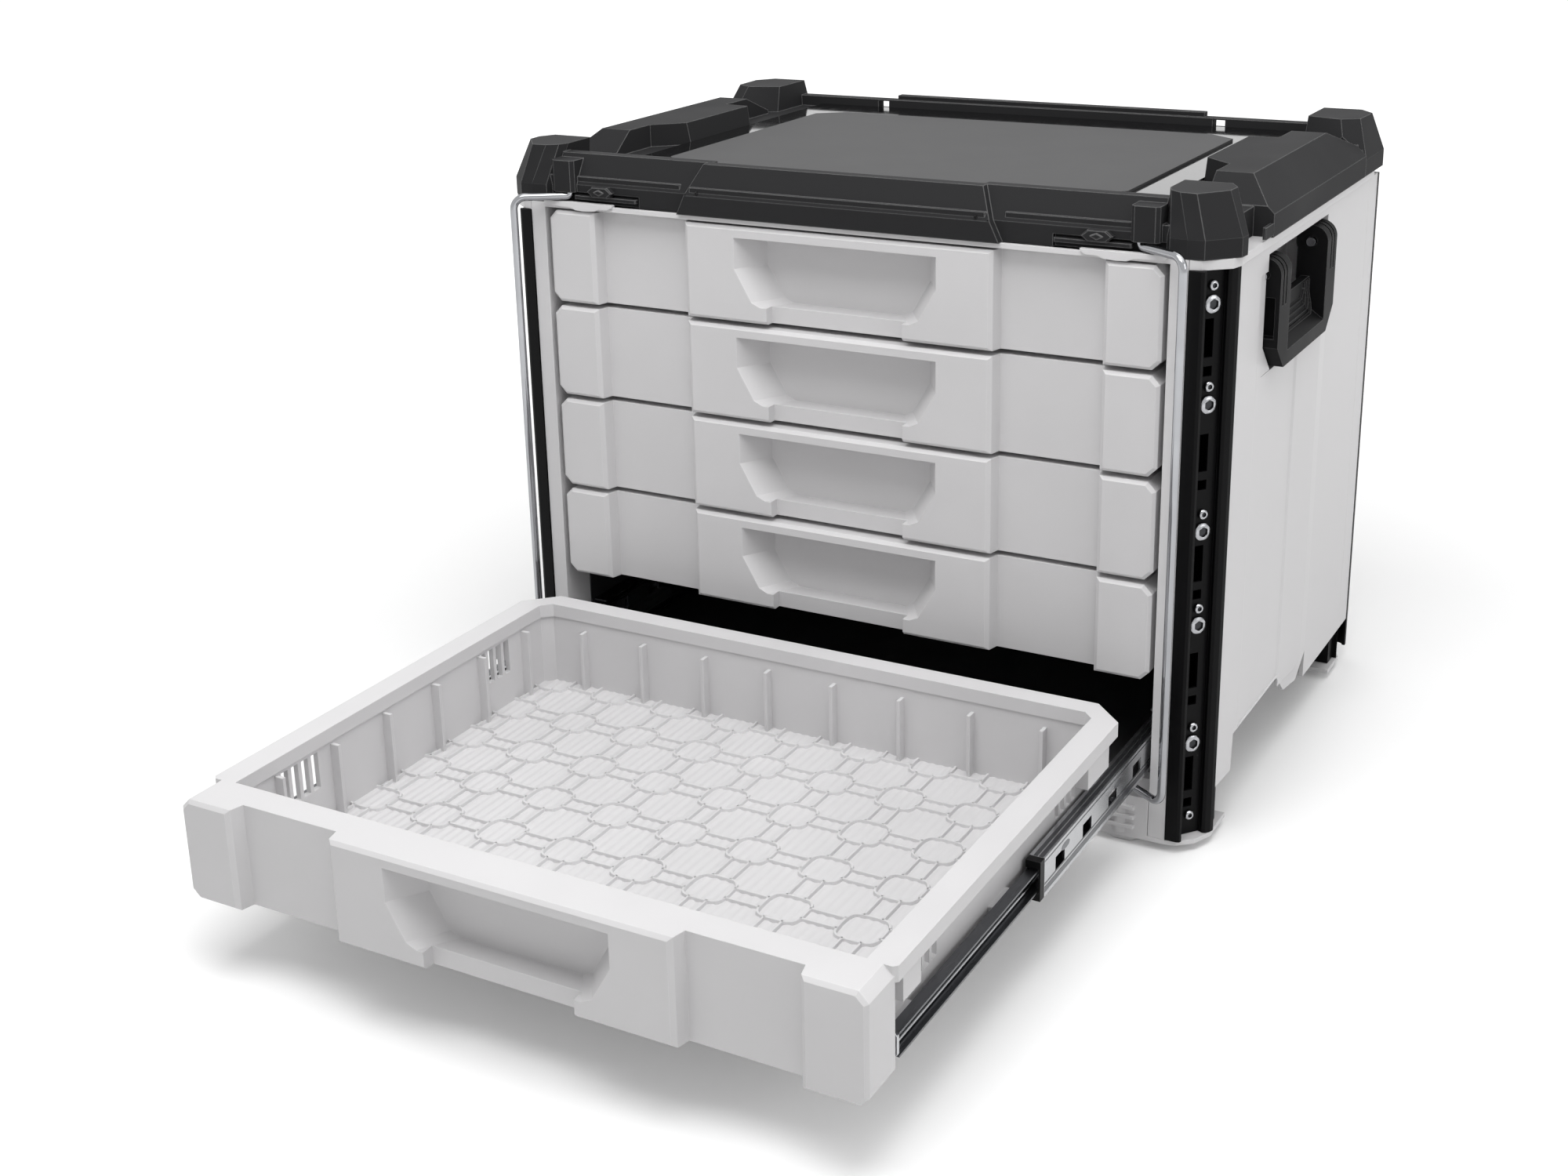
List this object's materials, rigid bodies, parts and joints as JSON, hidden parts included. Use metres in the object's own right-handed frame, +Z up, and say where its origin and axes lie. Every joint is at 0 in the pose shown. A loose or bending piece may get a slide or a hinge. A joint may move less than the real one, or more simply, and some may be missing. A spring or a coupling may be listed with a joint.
{
  "type": "socket organizer drawer box",
  "caption": "Stackable case with shallow drawers on telescopic slides, swing-out wire lock bars, folding side handles and a ribbed lid.",
  "frame": {"origin": "middle of the underside of the base plate, 29 mm above the ground", "axes": "+X to the right seen from the drawer side, +Y to the back, +Z up"},
  "size_m": [0.4464, 0.6385, 0.358],
  "materials": {
    "case_plastic": "light gray moulded plastic with a fine grain",
    "drawer_plastic": "light gray moulded plastic with a fine grain",
    "lid_plastic": "black moulded plastic with a fine grain",
    "panel_gloss": "glossy black sheet",
    "mat_rubber": "soft gray mat",
    "post_metal": "black powder coat on a pressed post",
    "inner_plastic": "matt black inner walls and floor",
    "rail_steel": "zinc-plated rolled steel",
    "stop_plastic": "black moulded stops",
    "bail_chrome": "chrome-plated wire",
    "screw_steel": "bright button heads and pins",
    "handle_plastic": "black moulded grip"
  },
  "bodies": {
    "cabinet": {"base": "case_plastic", "floor_plate": "inner_plastic", "front_bezel": "case_plastic", "handle_pins_left": "screw_steel", "handle_pins_right": "screw_steel", "inner_wall_left": "inner_plastic", "inner_wall_right": "inner_plastic", "large_screws": "screw_steel", "outer_rails_1": "rail_steel", "outer_rails_2": "rail_steel", "outer_rails_3": "rail_steel", "outer_rails_4": "rail_steel", "outer_rails_5": "rail_steel", "post_front_left": "post_metal", "post_front_right": "post_metal", "post_rear_left": "post_metal", "post_rear_right": "post_metal", "rear_panel": "case_plastic", "side_panel_left": "case_plastic", "side_panel_right": "case_plastic", "small_screws": "screw_steel", "top_collar": "case_plastic", "top_cover": "lid_plastic", "top_mat": "mat_rubber", "top_panel": "panel_gloss"},
    "left_lock_bar": {"bail_left": "bail_chrome"},
    "right_lock_bar": {"bail_right": "bail_chrome"},
    "drawer_unit_1": {"drawer_1": "drawer_plastic", "inner_rails_1": "rail_steel"},
    "drawer_unit_2": {"drawer_2": "drawer_plastic", "inner_rails_2": "rail_steel"},
    "drawer_unit_3": {"drawer_3": "drawer_plastic", "inner_rails_3": "rail_steel"},
    "drawer_unit_4": {"drawer_4": "drawer_plastic", "inner_rails_4": "rail_steel"},
    "drawer_unit_5": {"drawer_5": "drawer_plastic", "inner_rails_5": "rail_steel"},
    "left_grip": {"handle_left": "handle_plastic"},
    "right_grip": {"handle_right": "handle_plastic"},
    "slide_unit_1": {"middle_rails_1": "rail_steel", "rail_stops_1": "stop_plastic"},
    "slide_unit_2": {"middle_rails_2": "rail_steel", "rail_stops_2": "stop_plastic"},
    "slide_unit_3": {"middle_rails_3": "rail_steel", "rail_stops_3": "stop_plastic"},
    "slide_unit_4": {"middle_rails_4": "rail_steel", "rail_stops_4": "stop_plastic"},
    "slide_unit_5": {"middle_rails_5": "rail_steel", "rail_stops_5": "stop_plastic"}
  },
  "joints": [
    {"name": "drawer_1_travel", "type": "slide", "parent": "cabinet", "child": "drawer_unit_1", "axis": [0, -1, 0], "range_m": [0, 0.327]},
    {"name": "slide_1_travel", "type": "slide", "parent": "cabinet", "child": "slide_unit_1", "axis": [0, -1, 0], "range_m": [0, 0.17498]},
    {"name": "drawer_2_travel", "type": "slide", "parent": "cabinet", "child": "drawer_unit_2", "axis": [0, -1, 0], "range_m": [0, 0.327]},
    {"name": "slide_2_travel", "type": "slide", "parent": "cabinet", "child": "slide_unit_2", "axis": [0, -1, 0], "range_m": [0, 0.17498]},
    {"name": "drawer_3_travel", "type": "slide", "parent": "cabinet", "child": "drawer_unit_3", "axis": [0, -1, 0], "range_m": [0, 0.327]},
    {"name": "slide_3_travel", "type": "slide", "parent": "cabinet", "child": "slide_unit_3", "axis": [0, -1, 0], "range_m": [0, 0.17498]},
    {"name": "drawer_4_travel", "type": "slide", "parent": "cabinet", "child": "drawer_unit_4", "axis": [0, -1, 0], "range_m": [0, 0.327]},
    {"name": "slide_4_travel", "type": "slide", "parent": "cabinet", "child": "slide_unit_4", "axis": [0, -1, 0], "range_m": [0, 0.17498]},
    {"name": "drawer_5_travel", "type": "slide", "parent": "cabinet", "child": "drawer_unit_5", "axis": [0, -1, 0], "range_m": [-0.327, 0]},
    {"name": "slide_5_travel", "type": "slide", "parent": "cabinet", "child": "slide_unit_5", "axis": [0, -1, 0], "range_m": [-0.17498, 0]},
    {"name": "right_lock_bar_swing", "type": "hinge", "parent": "cabinet", "child": "right_lock_bar", "pos_m": [0.1716, -0.149, 0.15], "axis": [0, 0, 1], "range_deg": [-22, 12]},
    {"name": "left_lock_bar_swing", "type": "hinge", "parent": "cabinet", "child": "left_lock_bar", "pos_m": [-0.1716, -0.149, 0.15], "axis": [0, 0, -1], "range_deg": [-22, 12]},
    {"name": "right_grip_fold", "type": "hinge", "parent": "cabinet", "child": "right_grip", "pos_m": [0.2142, -0.022, 0.2755], "axis": [0, -1, 0], "range_deg": [0, 90]},
    {"name": "left_grip_fold", "type": "hinge", "parent": "cabinet", "child": "left_grip", "pos_m": [-0.2142, -0.022, 0.2755], "axis": [0, 1, 0], "range_deg": [0, 90]}
  ],
  "couplings": [
    {"joint": "slide_1_travel", "follows": "drawer_1_travel", "ratio": 0.535},
    {"joint": "slide_2_travel", "follows": "drawer_2_travel", "ratio": 0.535},
    {"joint": "slide_3_travel", "follows": "drawer_3_travel", "ratio": 0.535},
    {"joint": "slide_4_travel", "follows": "drawer_4_travel", "ratio": 0.535},
    {"joint": "slide_5_travel", "follows": "drawer_5_travel", "ratio": 0.535}
  ]
}
